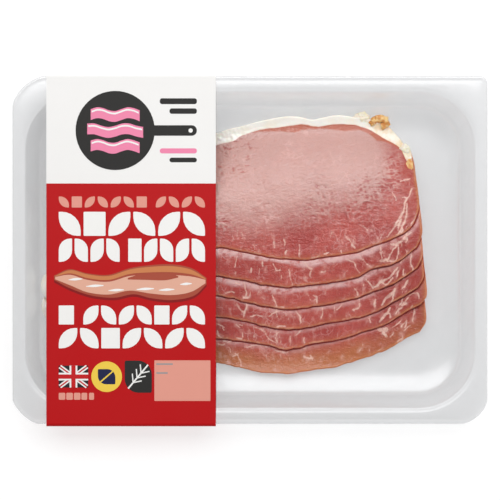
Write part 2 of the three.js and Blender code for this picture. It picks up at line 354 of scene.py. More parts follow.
def ripple(points, size, seed):
    """Smooth unevenness between about -1 and 1, with swells of the given size."""
    lattice = np.random.default_rng(seed).uniform(-1, 1, (257, 257))
    at = np.asarray(points) / size + 100.37
    cell = np.floor(at).astype(int) % 256
    share = ease(at - np.floor(at))
    x, y = cell[:, 0], cell[:, 1]
    low = lattice[x, y] * (1 - share[:, 0]) + lattice[x + 1, y] * share[:, 0]
    high = lattice[x, y + 1] * (1 - share[:, 0]) + lattice[x + 1, y + 1] * share[:, 0]
    return low * (1 - share[:, 1]) + high * share[:, 1]


def rasher_net(layer):
    """Places on a rasher, seen from above, spanned between its front, back and two ends."""
    dx, dy = LAID_AT[layer]
    corner = (84.5 + dx, FRONT_Y[layer][-1] + 4.6)
    stray = np.random.default_rng(50 + layer)

    def moved(points):
        return [(x + dx + stray.uniform(-0.4, 0.4), y + dy + stray.uniform(-0.4, 0.4))
                for x, y in points]

    def rough(line, *swells):
        """Unevenness in mm along a line, from swells of a size, a seed and a height."""
        return sum(ripple(line * 0.001, size, seed + layer) * height for size, seed, height in swells)

    tail = [(x + dx - TAIL_REACH[layer], y + dy) for x, y in TAIL]
    back_line = moved(BACK_EDGE) if layer < TOP else BACK_EDGE
    shown_front = list(zip(FRONT_X, FRONT_Y[layer]))
    front = smooth_through([tail[-1]] + moved(HIDDEN_FRONT) + shown_front + [corner], 24)
    ragged = rough(front, (0.0034, 30, 0.36), (0.0013, 130, 0.13))
    front[1:-1, 1] += ragged[1:-1]
    eye = smooth_through([corner] + [(x + dx, y + dy) for x, y in EYE_END])
    back = smooth_through([eye[-1]] + back_line)[::-1]
    lumpy = rough(back, (0.0027, 230, 0.5), (0.0012, 240, 0.2))
    back[:, 1] += lumpy * ease((back[:, 0] - 55) / 4) * ease((83 - back[:, 0]) / 3)
    end = smooth_through(tail[::-1] + [back[0]])

    rim = [0, 0.2, 0.5, 0.9, 1.4, 2.0]
    if layer == TOP:
        along, across = np.linspace(70.4, LENGTH - 2.5, 262), list(np.linspace(2.5, WIDTH - 2.5, 138))
    else:
        along = np.linspace(70.4, LENGTH - 2.5, 290)
        across = list(np.linspace(2.3, 17, 44)) + list(np.linspace(18.5, WIDTH - 2.5, 22))
    u = np.array(rim + list(np.linspace(3, 70, 22)) + list(along) + [LENGTH - d for d in rim[::-1]])
    v = np.array(rim + across + [WIDTH - d for d in rim[::-1]])
    u, v = u / LENGTH, v / WIDTH

    def on(line, axis, share):
        along_axis = line[0, axis] + share * (line[-1, axis] - line[0, axis])
        other = np.interp(along_axis, line[:, axis], line[:, 1 - axis])
        return np.stack([along_axis, other] if axis == 0 else [other, along_axis], -1) * 0.001

    F, B, L, R = on(front, 0, u), on(back, 0, u), on(end, 1, v), on(eye, 1, v)
    U, V = u[:, None, None], v[None, :, None]
    return ((1 - V) * F[:, None] + V * B[:, None] + (1 - U) * L[None] + U * R[None]
            - (1 - U) * (1 - V) * F[0] - U * (1 - V) * F[-1] - (1 - U) * V * B[0] - U * V * B[-1])


def outside(rim, points):
    """Distance from each point to a rasher's rim: positive outside it, negative inside."""
    ends = np.roll(rim, -1, 0)
    way = ends - rim
    reach = np.maximum((way ** 2).sum(1), 1e-18)
    out = np.empty(len(points))
    for start in range(0, len(points), 4096):
        some = points[start:start + 4096, None]
        share = np.clip(((some - rim) * way).sum(2) / reach, 0, 1)
        gap = np.sqrt(((some - rim - share[..., None] * way) ** 2).sum(2)).min(1)
        x, y = some[..., 0], some[..., 1]
        crosses = ((rim[:, 1] > y) != (ends[:, 1] > y)) & (
            x < rim[:, 0] + way[:, 0] * (y - rim[:, 1]) / np.where(way[:, 1] == 0, 1e-12, way[:, 1]))
        out[start:start + 4096] = np.where(crosses.sum(1) % 2 == 1, -gap, gap)
    return out


# The bed under each rasher is worked out on a 1 mm grid: what lies below, bridged where it steps
# down, because a slice is too stiff to follow a sharp step.
GRID = 0.001
grid_x, grid_y = np.arange(-0.114, 0.098, GRID), np.arange(-0.070, 0.078, GRID)
grid = np.stack(np.meshgrid(grid_x, grid_y, indexing="ij"), -1).reshape(-1, 2)


def from_grid(field, points):
    at = (points - (grid_x[0], grid_y[0])) / GRID
    cell = np.clip(np.floor(at).astype(int), 0, (len(grid_x) - 2, len(grid_y) - 2))
    x, y = cell.T
    s, t = np.clip(at - cell, 0, 1).T
    return ((field[x, y] * (1 - s) + field[x + 1, y] * s) * (1 - t)
            + (field[x, y + 1] * (1 - s) + field[x + 1, y + 1] * s) * t)


def bridged(field, reach=6, blur=4.0):
    spread = field.copy()
    for i in range(-reach, reach + 1):
        for j in range(-reach, reach + 1):
            if i * i + j * j <= reach * reach:
                spread = np.maximum(spread, np.roll(field, (i, j), (0, 1)))
    weights = np.exp(-0.5 * (np.arange(-11, 12) / blur) ** 2)
    for axis in (0, 1):
        spread = sum(w * np.roll(spread, k - 11, axis) for k, w in enumerate(weights)) / weights.sum()
    return np.maximum(field, spread)


def tray_floor(points):
    past_x = np.maximum(abs(points[:, 0]) - (CAVITY_HALF[0] - CAVITY_CORNER), 0)
    past_y = np.maximum(abs(points[:, 1]) - (CAVITY_HALF[1] - CAVITY_CORNER), 0)
    inset = CAVITY_CORNER - np.hypot(past_x, past_y)
    return FLOOR_TOP + np.interp(floor_inset - inset, curve_out, curve_rise)


nets = [rasher_net(layer) for layer in range(len(LAID_AT))]
shape = (len(grid_x), len(grid_y))
settled = (tray_floor(grid) + SLICE_GAP).reshape(shape)
beds, beyond = [], []
for net in nets:
    rim = np.vstack([net[:, 0], net[-1, 1:], net[-2::-1, -1], net[0, -2:0:-1]])[::3]
    beyond.append(outside(rim, grid).reshape(shape))
    beds.append(bridged(settled))
    settled = np.where(beyond[-1] < 0, beds[-1] + SLICE + SLICE_GAP, settled)

# White seams of fat run through the meat where one muscle meets the next. Each has its half width
# in hundredths of a mm, then the x and y of its course in tenths. Faint ones lie between by chance.
SEAMS = [[
    (62, 673, -415, 709, -415), (39, 694, -431, 709, -446), (10, 745, -400, 787, -371),
    (15, 857, -291, 853, -335, 845, -374), (12, 573, -402, 577, -418),
    (18, -168, -485, -142, -495, -132, -490), (15, -132, -477, -95, -475),
    (15, -80, -539, -64, -552, -52, -575), (9, -85, -554, -62, -539), (9, -50, -575, -48, -606),
    (18, 132, -520, 168, -529, 201, -531), (10, 85, -549, 88, -565), (9, -18, -503, 39, -495, 90, -505),
    (18, 281, -554, 307, -562, 330, -565), (13, 317, -549, 328, -575), (10, 266, -513, 291, -507),
    (10, 766, -477, 797, -456), (9, 730, -451, 750, -431),
], [
    (26, -52, -387, -39, -391), (18, 21, -398, 44, -407, 57, -410, 69, -426), (23, 46, -407, 62, -412),
    (8, -168, -387, -132, -400), (8, -142, -395, -137, -415), (10, -70, -389, -49, -407),
    (18, -39, -431, -36, -449), (28, -70, -456, -44, -459), (9, 147, -426, 132, -456, 142, -482),
    (9, 209, -446, 206, -477), (9, 70, -420, 95, -456, 132, -482), (10, 260, -415, 240, -446),
    (39, 730, -300, 711, -328, 691, -351, 675, -374), (12, 725, -328, 727, -353),
    (13, 823, -248, 810, -263), (41, 792, -286, 807, -273), (15, 869, -217, 876, -248),
    (10, 620, -355, 624, -379), (15, -169, -420, -162, -444, -147, -456), (9, 281, -456, 284, -482),
], [
    (28, -22, -268, -14, -288, -26, -319, -30, -347), (13, -70, -276, -49, -307, -31, -328),
    (13, -3, -346, 34, -338, 70, -348), (9, 137, -307, 139, -343), (9, 95, -343, 132, -322, 183, -304),
    (18, 235, -315, 254, -339, 266, -367, 262, -382), (18, 377, -296, 374, -328, 367, -351),
    (10, 565, -255, 568, -296), (28, 534, -309, 560, -304), (21, 647, -258, 647, -291),
    (36, 754, -201, 738, -221, 707, -252, 683, -284), (13, 745, -217, 738, -255, 730, -281),
    (10, 472, -286, 451, -312), (28, 142, -397, 183, -400), (8, 353, -245, 348, -271),
], [
    (21, -30, -166, -24, -189, -22, -217, -22, -245), (13, 4, -214, -5, -245, -23, -248),
    (44, -31, -245, -13, -248), (9, -75, -162, -57, -178), (13, -125, -224, -106, -219, -85, -222),
    (13, 116, -236, 132, -268, 140, -296), (28, 132, -295, 173, -298), (9, 49, -201, 46, -219),
    (21, 325, -236, 345, -248, 348, -272), (13, 604, -154, 620, -173, 635, -197),
    (28, 635, -197, 659, -181, 679, -162, 707, -154, 730, -134, 750, -106, 766, -90),
    (15, 683, -165, 704, -178, 730, -162, 738, -142), (9, 544, -201, 561, -233),
    (18, 837, -8, 833, -59, 841, -106, 841, -150, 825, -185), (28, 841, -150, 864, -142, 885, -126),
    (13, 845, 116, 853, 59, 855, 34), (23, 776, -64, 807, -34, 823, -13),
], [
    (34, 828, 90, 797, 59, 766, 34, 725, 26), (21, 766, 36, 742, 8, 723, -23, 711, -51, 683, -59),
    (15, 766, 28, 770, -8, 758, -43, 738, -59, 704, -59), (39, 678, -57, 699, -52),
    (9, 675, 13, 683, -43), (9, 573, -43, 600, -67, 627, -90),
    (12, 501, -47, 533, -63, 549, -94, 568, -121), (10, -70, -35, -74, -75, -77, -90),
    (21, 61, -59, 64, -83), (15, 120, -75, 132, -99, 152, -106, 159, -94),
    (12, 199, -99, 210, -138, 217, -178), (19, 286, -67, 305, -94, 317, -99, 309, -126, 317, -145),
    (15, 369, -116, 389, -111), (8, 5, -90, 5, -116), (8, 49, -95, 47, -129), (6, 160, -132, 162, -152),
], [
    (23, 837, 317, 818, 268, 797, 232, 786, 188, 750, 126, 730, 95, 704, 64),
    (21, 812, 240, 805, 178, 792, 132, 774, 95, 750, 64), (9, 774, 355, 797, 363, 829, 367),
    (13, 734, 299, 745, 281, 754, 255), (10, 787, 269, 818, 267), (8, 487, 85, 521, 34, 529, 18),
    (26, 526, 26, 539, 10), (23, 384, -18, 402, -13), (8, 585, 126, 606, 106), (6, 470, 3, 470, -13),
    (8, 126, 44, 124, 13), (18, 183, -18, 193, -3), (23, 322, -40, 353, -37), (8, 177, 59, 178, 23),
    (6, 255, 28, 253, -34),
]]
CHANCE_SEAMS = [  # how many, x, y past the edge, lean, step, bends, sway, half width and faintness
    (34, (-17, 82), (0.4, 9), (-0.5, 0.5), (0.7, 1.5), (2, 5), 0.5, (0.05, 0.12), (0.14, 0.36)),
    (4, (75, 86), (0, 10), (0.2, 0.9), (1.2, 2.4), (2, 4), 0.6, (0.12, 0.3), (0.0, 0.15)),
]


def seam_gap(layer, points):
    """How far each point lies from the nearest seam's edge, in mm: negative within a seam."""
    apart = np.full(len(points), 3.0)
    chance = np.random.default_rng(70 + layer)
    lines = [(half / 100, [(x / 10, y / 10) for x, y in zip(course[::2], course[1::2])], 0.0)
             for half, *course in SEAMS[layer]]
    front = smooth_through(list(zip(FRONT_X, FRONT_Y[layer])))
    for count, across, past_edge, leans, steps, bends, sway, halves, faintness in CHANCE_SEAMS:
        for _ in range(count):
            x = chance.uniform(*across)
            y = np.interp(x, front[:, 0], front[:, 1]) + chance.uniform(*past_edge)
            lean, step = chance.uniform(*leans), chance.uniform(*steps)
            course = [(x, y)]
            for _ in range(chance.integers(*bends)):
                lean += chance.uniform(-sway, sway)
                x, y = x + step * math.sin(lean), y + step * math.cos(lean)
                course.append((x, y))
            lines.append((chance.uniform(*halves), course, chance.uniform(*faintness)))
    warp = np.stack([ripple(points, 0.0021, 90 + layer), ripple(points, 0.0021, 190 + layer)], 1)
    warped = points * 1000 + warp * 0.42
    for half, course, faint in lines:
        line = smooth_through(course, 5) if len(course) > 2 else np.array(course)
        whole = len(line) - 1
        for i in range(whole):
            a, way = line[i], line[i + 1] - line[i]
            near = np.nonzero(abs(warped - a - way / 2).max(1) < abs(way).max() / 2 + half + 2.6)[0]
            if not len(near):
                continue
            offset = warped[near] - a
            share = np.clip(offset @ way / max(way @ way, 1e-9), 0, 1)
            gap = np.hypot(*(offset - share[:, None] * way).T)
            taper = 0.45 + 0.55 * math.sin(math.pi * (i + 0.5) / whole)
            wide = half * taper * (1.4 if line[0][0] > 58 else 1)
            apart[near] = np.minimum(apart[near], gap - wide + faint)
    return apart


FAT_LINE = [(-95, 2), (-91, 12), (-84, 22), (-66, 34), (-40, 45), (-17, 54.4), (-9.5, 56.4), (-3, 60.0),
            (5.2, 62.5), (15.5, 63.8), (25.8, 65.3), (34, 64.2), (44, 65.4), (54.7, 64.8),
            (61.6, 62.8), (68.9, 58.6), (77.2, 53.6), (80.5, 47.9), (83, 42.5)]
STRIP_RISE, GROOVE_WIDE, EDGE_CURL, CREASE_DEPTH = 0.0022, 0.00038, 0.0008, 0.0002
# GLINT is the strength of a painted highlight on each strip just below its groove.
GLINT = (0.5, 0.55, 0.65, 1.0, 1.15, 0.0)  # how bright each strip is below its groove
# LIP gives the width in mm, at each x of LIP_AT, of a band of painted shade: darker red-brown on the meat
# just in front of the top rasher's fat, where the meat dips below the raised fat.
LIP_AT = (1, 3, 10, 15.5, 24, 32, 36, 44, 49, 56.7, 62, 66, 69.5, 77, 81)
LIP = (0, 0.7, 1.7, 2.1, 4.0, 1.7, 1.2, 3.0, 3.8, 2.1, 2.6, 3.6, 1.8, 1.0, 0)
CAP_SHIFT = (10, 10, 10, 9, 5, 0)
CAP_SEAM = [(4.9, 72.5), (12.6, 75.6), (25.5, 78.4), (36.9, 77), (44, 76.5), (51.3, 79)]


def creases(points, seed):
    """Fine wrinkles that run across the slice: 1 on a crest and -1 in a crease."""
    drift = ripple(points, 0.007, seed) * 0.0013
    turned = np.stack([points[:, 0] * 0.42 + points[:, 1] * 0.1, points[:, 1] + drift], 1)
    return (0.65 * (1 - 2.4 * abs(ripple(turned, 0.00095, seed + 1)))
            + 0.35 * (1 - 2.4 * abs(ripple(turned, 0.0006, seed + 2))))


def verts_in(geom):
    return [g for g in geom if isinstance(g, bmesh.types.BMVert)]


def cured_rasher(layer):
    """One rasher: its net given a slice's thickness, draped in its place, and its tones marked."""
    net = nets[layer]
    columns, rows = net.shape[:2]
    form = bmesh.new()
    bmesh.ops.create_grid(form, x_segments=columns - 1, y_segments=rows - 1, size=1)
    which = form.verts.layers.int.new("which")
    for vert in form.verts:
        i, j = round((vert.co.x + 1) / 2 * (columns - 1)), round((vert.co.y + 1) / 2 * (rows - 1))
        vert[which] = i * rows + j
    raised = bmesh.ops.extrude_face_region(form, geom=form.faces[:], use_keep_orig=True)["geom"]
    bmesh.ops.translate(form, verts=verts_in(raised), vec=(0, 0, 0.5))
    bmesh.ops.recalc_face_normals(form, faces=form.faces)
    mesh = mesh_of(f"rasher_{layer + 1}", form)
    count = len(mesh.vertices)
    pick, place = np.empty(count, np.int32), np.empty(count * 3)
    mesh.attributes["which"].data.foreach_get("value", pick)
    mesh.vertices.foreach_get("co", place)
    upper = place.reshape(-1, 3)[:, 2] > 0.25
    mesh.attributes.remove(mesh.attributes["which"])

    flat = net.reshape(-1, 2)
    run = np.hypot(*np.moveaxis(np.diff(net, axis=0), 2, 0))
    rise = np.hypot(*np.moveaxis(np.diff(net, axis=1), 2, 0))
    from_left = np.vstack([np.zeros(rows), run.cumsum(0)])
    from_front = np.hstack([np.zeros((columns, 1)), rise.cumsum(1)])
    edges = np.stack([from_left, from_left[-1] - from_left, from_front, from_front[:, -1:] - from_front])
    depth = edges.min(0).reshape(-1)
    front_depth = edges[2].reshape(-1)

    dx, dy = LAID_AT[layer]
    bed = from_grid(beds[layer], flat)
    swell = ripple(flat, 0.024, 3) * 0.00025
    grain = ripple(flat, 0.0017, 20 + layer) * 0.00005 + ripple(flat, 0.0045, 40 + layer) * 0.00012
    bared = np.full(len(flat), 0.03)
    if layer < TOP:
        bared = from_grid(beyond[layer + 1], flat)
    open_by = np.maximum(bared, 0)
    ledge = open_by / (0.0017 + 0.0008 * ripple(flat, 0.019, 80 + layer))
    groove = 1 - np.exp(-(open_by / (GROOVE_WIDE + 0.0001 * ripple(flat, 0.006, 180 + layer))) ** 2)
    down = ease(open_by / (open_by + front_depth + 0.0005))
    lift = STRIP_RISE * groove * (1 - 0.6 * down) * (1 + 0.15 * ripple(flat, 0.015, 280 + layer))
    lift *= layer < TOP
    inward = np.clip(EDGE_CURL - depth, 0, EDGE_CURL)
    fall = EDGE_CURL - np.sqrt(EDGE_CURL ** 2 - inward ** 2)
    x, y = flat[:, 0] * 1000 - dx, flat[:, 1] * 1000 - dy
    crease = creases(flat, 300)
    wrinkled = np.zeros(len(flat))
    if layer == TOP:
        wrinkled = ease((y - 6) / 8) * ease((45 - y + 0.12 * x) / 16)
        wrinkled += 0.9 * ease((y - 30) / 6) * ease((24 - x) / 26) + 0.2 * ease((y - 30) / 8)
        wrinkled = np.clip(wrinkled * (0.65 + 0.6 * ripple(flat, 0.013, 310)), 0, 1)
    relief = grain + crease * (wrinkled * CREASE_DEPTH + 0.00001)
    over = bed + swell + SLICE + lift + np.where(bared > -0.001, relief, 0) - fall * 0.85
    under = bed + swell + fall * 0.5
    mesh.vertices.foreach_set(
        "co", np.column_stack([flat[pick], np.where(upper, over[pick], under[pick])]).ravel())

    fat_line = smooth_through(FAT_LINE)
    wander = ripple(flat, 0.0035, 60 + layer) * 0.8 + ripple(flat, 0.009, 160 + layer) * (layer < TOP)
    over_fat = y - np.interp(x, fat_line[:, 0], fat_line[:, 1]) + wander * 0.35
    # Width of the painted shade band in front of the fat, on the top rasher only.
    lip = np.interp(x, LIP_AT, LIP) * (layer == TOP)
    cap_line = smooth_through(CAP_SEAM)
    past_cap = x - np.interp(y, cap_line[:, 0], cap_line[:, 1]) + wander * 1.6 + CAP_SHIFT[layer]
    front_mm = front_depth * 1000
    amber = (1 - ease((front_mm - 4.5 + wander) / 11)) if layer == 0 else 0.4 * (1 - ease(front_mm / 4))
    amber = amber * (1 - 0.4 * ease((x - 48) / 14) * ease((front_mm - 1.2) / 2))
    eye_rim = 1 - ease(depth * 1000 / (4.5 if layer < 2 else 2.6))
    amber = np.maximum(amber, 0.9 * eye_rim * ease((x - 66) / 8))
    # Painted sheen on the top rasher: its upper slope, which leans towards the lamps, is made paler from
    # here up, standing in for the soft light it reflects.
    pale_from = np.interp(x, (-17, 0, 15, 40, 60, 75), (2, -2, 2, 8, 15, 13))
    sheen = np.clip((y - pale_from) / 28, 0, 1) * (1 - 0.1 * ease((y - 34 + 0.2 * (20 - x)) / 16))
    sheen *= 1 - 0.6 * ease((x - 61) / 15)
    glint = ease((ledge - 0.12) / 0.3) * (1 - ease((ledge - 0.4) / (0.9 + 1.7 * GLINT[layer])))
    marks = {
        "rim_mm": depth * 1000,
        "fat_mm": np.maximum(np.where(x < 84, over_fat, -3), -(x + 93.5 + wander * 3)),
        "fat_step_shade_mm": np.where(lip > 0.1, over_fat + lip, -3),
        "cap_mm": np.minimum(past_cap, (57 - y) * 0.6),
        "seam_mm": seam_gap(layer, flat),
        "amber": amber,
        "bared_mm": bared * 1000,
        "deep": ease((x + wander - 50) / 12) * (0.9 if layer < TOP else 0.75 * ease((12 - y + 0.1 * x) / 9)),
        "glint": glint * GLINT[layer] * (1 - 0.5 * ease((x - 60) / 9)),
        "crease": crease * np.maximum(wrinkled, 0.15),
        "sheen": sheen * (layer == TOP),
        "cream": ease((x - 57) / 9) * (0.85 + 0.25 * ripple(flat, 0.004, 330)),
    }
    for name, values in marks.items():
        kept = mesh.attributes.new(name, "FLOAT", "POINT")
        kept.data.foreach_set("value", values[pick].astype(np.float32))
    mesh.update()
    return mesh


cured_pork, tree = new_finish("cured_pork")
place = add(tree, "TexCoord").outputs["Object"]


def mark(name):
    return add(tree, "Attribute", {"attribute_name": name}).outputs["Fac"]


def spread(value, low, high, out_low=0.0, out_high=1.0):
    return span(tree, value, low, high, out_low, out_high, "SMOOTHSTEP")


def combine(a, b, operation="MULTIPLY"):
    step = add(tree, "Math", {"operation": operation})
    feed(tree, step.inputs[0], a)
    feed(tree, step.inputs[1], b)
    return step.outputs["Value"]


def tint(under, over, where, strength=None):
    """A colour laid over the skin where a mark says, at a given strength."""
    return toned(tree, under, over, where if strength is None else combine(where, strength))


def stretched(x, y, z):
    return add(tree, "Mapping", Vector=place, Scale=(x, y, z)).outputs["Vector"]


def cloud(vector, size, detail=3.0, rough=0.55):
    return cloud_on(tree, vector, size, detail, rough)


sheen, crest, amber, cream = mark("sheen"), mark("crease"), mark("amber"), mark("cream")
rim, seam_edge, fat_edge = mark("rim_mm"), mark("seam_mm"), mark("fat_mm")
mottle = cloud(place, 260.0, 4.0, 0.65)
uneven = combine(mottle, 0.5, "SUBTRACT")
feather = combine(combine(cloud(place, 900.0, 4.0, 0.6), 0.5, "SUBTRACT"), 0.5)
patches = spread(cloud(place, 46.0), 0.36, 0.66)
streaks = spread(cloud(stretched(1, 0.25, 1), 520.0, 4.0, 0.6), 0.5, 0.72)
specks = spread(cloud(stretched(1, 0.7, 1), 1000.0, 2.0), 0.52, 0.72)
# Painted highlight: the top rasher's pale sheen, paler still on the crests of its wrinkles.
painted_sheen = spread(combine(sheen, combine(crest, 0.6), "ADD"), 0.02, 0.95)
# Painted shade: darker red in the creases of the top rasher's wrinkles, weaker where the sheen is painted.
painted_crease_shade = spread(crest, -0.75, -0.08, 1.0, 0.0)
bent = add(tree, "Mix", {"data_type": "VECTOR"}, Factor=0.004)
bend = add(tree, "TexNoise", Vector=place, Scale=300.0, Detail=3.0).outputs["Color"]
tree.links.new(place, bent.inputs[4])
tree.links.new(bend, bent.inputs[5])
threads = add(tree, "TexVoronoi", {"feature": "DISTANCE_TO_EDGE"}, Vector=bent.outputs[1],
              Scale=230.0, Randomness=1.0).outputs["Distance"]
threaded = combine(spread(threads, 0.0, 0.08, 1.0, 0.0), spread(cloud(place, 75.0, 2.0), 0.5, 0.66))
cap_here = spread(combine(mark("cap_mm"), combine(uneven, 9.0), "ADD"), -3.0, 4.5)
painted_fat_step_shade = spread(combine(mark("fat_step_shade_mm"), feather, "ADD"), -0.5, 0.7)
# Painted highlight: a pale band on each strip just below the groove of the rasher above it, broken up by the
# mottle.
glint = combine(spread(mark("glint"), 0.1, 1.0), spread(mottle, 0.26, 0.56))
# Painted shade: deep red laid into the groove just past each covering edge, where that edge's shade falls,
# so the shadow line reads red rather than grey.
painted_groove_shade = spread(mark("bared_mm"), 0.15, 0.65, 1.0, 0.0)
milky = combine(spread(seam_edge, 0.1, 2.2, 1.0, 0.0), spread(mottle, 0.46, 0.64))
lean = tint((0.40, 0.030, 0.021), (0.50, 0.066, 0.047), patches)
for colour, where, strength in (
    ((0.64, 0.22, 0.18), streaks, 0.4),
    ((0.32, 0.045, 0.040), specks, 0.5),
    # painted sheen on the top rasher
    ((0.66, 0.42, 0.37), painted_sheen, 0.74),
    # painted shade in the creases
    ((0.32, 0.06, 0.05), painted_crease_shade, spread(sheen, 0.2, 0.9, 0.5, 0.2)),
    ((0.80, 0.46, 0.42), threaded, 0.42),
    ((0.42, 0.036, 0.018), cap_here, 0.8),
    ((0.33, 0.014, 0.008), mark("deep"), spread(mottle, 0.35, 0.6, 0.8, 0.35)),
    ((0.48, 0.138, 0.032), amber, 0.9),
    # painted shade in front of the fat
    ((0.50, 0.105, 0.045), painted_fat_step_shade, 0.92),
    # painted highlight below each groove
    ((0.84, 0.56, 0.54), glint, 0.8),
    # painted shade in each groove
    ((0.82, 0.022, 0.012), painted_groove_shade, 0.95),
    ((0.78, 0.43, 0.37), milky, 0.42),
):
    lean = tint(lean, colour, where, strength)
white_here = spread(combine(seam_edge, combine(feather, 2.0), "ADD"), -0.08, 0.42, 1.0, 0.0)
# White seams are kept out of the painted groove shade.
white_here = combine(white_here, combine(1.0, painted_groove_shade, "SUBTRACT"))
seamed = tint(lean, (0.86, 0.57, 0.47), white_here, spread(mottle, 0.3, 0.6, 0.45, 0.9))
# The front rim of each rasher: smoked red-brown, mixed by chance with a lighter peach that is a painted
# highlight along the edge, and amber where the smoke is strong.
rim_smoke_and_highlight = tint((0.60, 0.16, 0.075), (0.88, 0.48, 0.33), spread(cloud(place, 280.0), 0.46, 0.66))
rim_smoke_and_highlight = tint(rim_smoke_and_highlight, (0.60, 0.20, 0.055), amber)
lip_width = combine(rim, combine(uneven, 2.4), "ADD")
edged = tint(seamed, rim_smoke_and_highlight, spread(lip_width, 0.4, 1.5, 1.0, 0.0), 0.66)
edged = tint(edged, (0.66, 0.05, 0.022), spread(rim, 0.02, 0.3, 1.0, 0.0), 0.8)
fat_tone = tint((0.98, 0.95, 0.87), (0.96, 0.90, 0.78), spread(cloud(place, 160.0, 4.0), 0.4, 0.7))
for colour, where, strength in (
    ((0.86, 0.66, 0.56), spread(fat_edge, 0.0, 1.2, 1.0, 0.0), 0.4),
    ((0.80, 0.68, 0.50), spread(rim, 0.0, 0.5, 1.0, 0.0), 0.3),
    ((0.82, 0.58, 0.30), cream, spread(mottle, 0.4, 0.6, 0.2, 0.8)),
):
    fat_tone = tint(fat_tone, colour, where, strength)
past_fat = combine(fat_edge, feather, "ADD")
skin = tint(edged, fat_tone, spread(past_fat, -0.2, 0.3))

pebble = add(tree, "TexNoise", Vector=stretched(0.6, 1, 1), Scale=760.0, Detail=3.0, Roughness=0.55,
             Distortion=0.9).outputs["Fac"]
fibre = cloud(stretched(1.0, 0.15, 1), 1100.0)
relief = combine(combine(pebble, 0.8), combine(fibre, 0.2), "ADD")
smooth_fat = combine(spread(past_fat, -0.2, 0.3, 0.75, 0.2), combine(cream, 0.4), "ADD")
pork_bump = add(tree, "Bump", Height=relief, Strength=smooth_fat, Distance=0.0006).outputs["Normal"]
damp = combine(spread(rim, 0.0, 0.7), spread(mark("bared_mm"), 0.3, 1.2))
pork_skin = add(
    tree, "BsdfPrincipled", Base_Color=skin, Roughness=spread(cloud(place, 85.0), 0.35, 0.7, 0.32, 0.45),
    Normal=pork_bump, Subsurface_Weight=0.2, Subsurface_Radius=(1.0, 0.3, 0.2), Subsurface_Scale=0.0018,
    Specular_IOR_Level=0.25, Coat_Weight=combine(damp, 0.8), Coat_Roughness=0.14, Coat_IOR=1.52,
    Coat_Normal=pork_bump,
)
add(tree, "OutputMaterial", Surface=pork_skin.outputs["BSDF"])

for layer in range(len(LAID_AT)):
    lay_in(f"back_rasher_{layer + 1}", cured_rasher(layer), cured_pork, "cured_pork",
           f"rasher_{layer + 1}")

# Scraps of rind and fat stand out from the top rasher's back edge: a pale one, an amber curl, a
# white lump of fat and a smoked amber fleck on its shoulder.
rind_scrap, tree = new_finish("smoked_rind")
place = add(tree, "TexCoord").outputs["Object"]
rind_tone = tint((0.70, 0.27, 0.035), (0.88, 0.58, 0.22), spread(cloud(place, 420.0, 4.0), 0.4, 0.62))
rind_tone = tint(rind_tone, (0.86, 0.81, 0.66), mark("pale"))
rind_bump = add(tree, "Bump", Height=cloud(place, 1300.0), Strength=0.6, Distance=0.0005)
rind_skin = add(
    tree, "BsdfPrincipled", Base_Color=rind_tone, Roughness=0.34, Normal=rind_bump.outputs["Normal"],
    Subsurface_Weight=0.25, Subsurface_Radius=(1.0, 0.6, 0.25), Subsurface_Scale=0.0012,
    Specular_IOR_Level=0.55, Coat_Weight=0.5, Coat_Roughness=0.15,
)
add(tree, "OutputMaterial", Surface=rind_skin.outputs["BSDF"])
SCRAPS = [  # place and half sizes in mm, how pale, depth of the dimple, and height over the bed
    ("rind_pale", (58.4, 68.8), (3.9, 2.9, 1.2), 0.85, 0.1, 0.0004),
    ("fat_lump", (80.6, 52.6), (2.6, 2.5, 1.5), 1.0, 0.2, 0.0016),
    ("rind_fleck", (82.6, 42.8), (1.8, 4.4, 0.8), 0.0, 0.1, 0.0016),
]
CURL_AT, CURL_BEND, CURL_THICK = (67.4, 66.2), (3.3, 2.1), (1.9, 1.3)
CURL_STRIP = (0.36, 0.5)  # half width and half thickness of the strip, for a bend of 1
CURL_RISE = 0.0031


def keep_scrap(name, form, pale):
    scrap_mesh = mesh_of(name, form)
    kept = scrap_mesh.attributes.new("pale", "FLOAT", "POINT")
    kept.data.foreach_set("value", [pale] * len(scrap_mesh.vertices))
    lay_in(name, scrap_mesh, rind_scrap, "cured_pork")


curl_form = bmesh.new()
tip = bmesh.ops.create_circle(curl_form, cap_ends=True, segments=28, radius=1.0,
                              matrix=Matrix.Rotation(math.pi / 2, 4, "X"))["verts"]
for vert in tip:
    vert.co = Vector((vert.co.x * CURL_STRIP[0] + 1, 0, vert.co.z * CURL_STRIP[1]))
bmesh.ops.spin(curl_form, geom=curl_form.faces[:], cent=(0, 0, 0), axis=(0, 0, 1),
               angle=math.radians(285), steps=90, use_duplicate=False)
bmesh.ops.rotate(curl_form, verts=curl_form.verts, cent=(0, 0, 0),
                 matrix=Matrix.Rotation(math.radians(-75), 3, "Z"))
bmesh.ops.recalc_face_normals(curl_form, faces=curl_form.faces)
curl_foot = from_grid(beds[TOP], np.array(CURL_AT)[None] * 0.001)[0]
for vert in curl_form.verts:
    way = vert.co.copy()
    lump = 1 + 0.32 * noise.fractal(way * 1.7 + Vector((3, 1, 0)), 1.0, 2.0, 3)
    out = (way.xy.length - 1) * CURL_THICK[0] / CURL_STRIP[0]
    around = way.xy.normalized()
    x, y = (at + turn * (bend * lump + out) for at, turn, bend in zip(CURL_AT, around, CURL_BEND))
    vert.co = Vector((x, y, (way.z * 2.6 + 0.5 * around.y) * CURL_THICK[1] * lump)) * 0.001
    vert.co.z += curl_foot + CURL_RISE
keep_scrap("rind_curl", curl_form, 0.0)

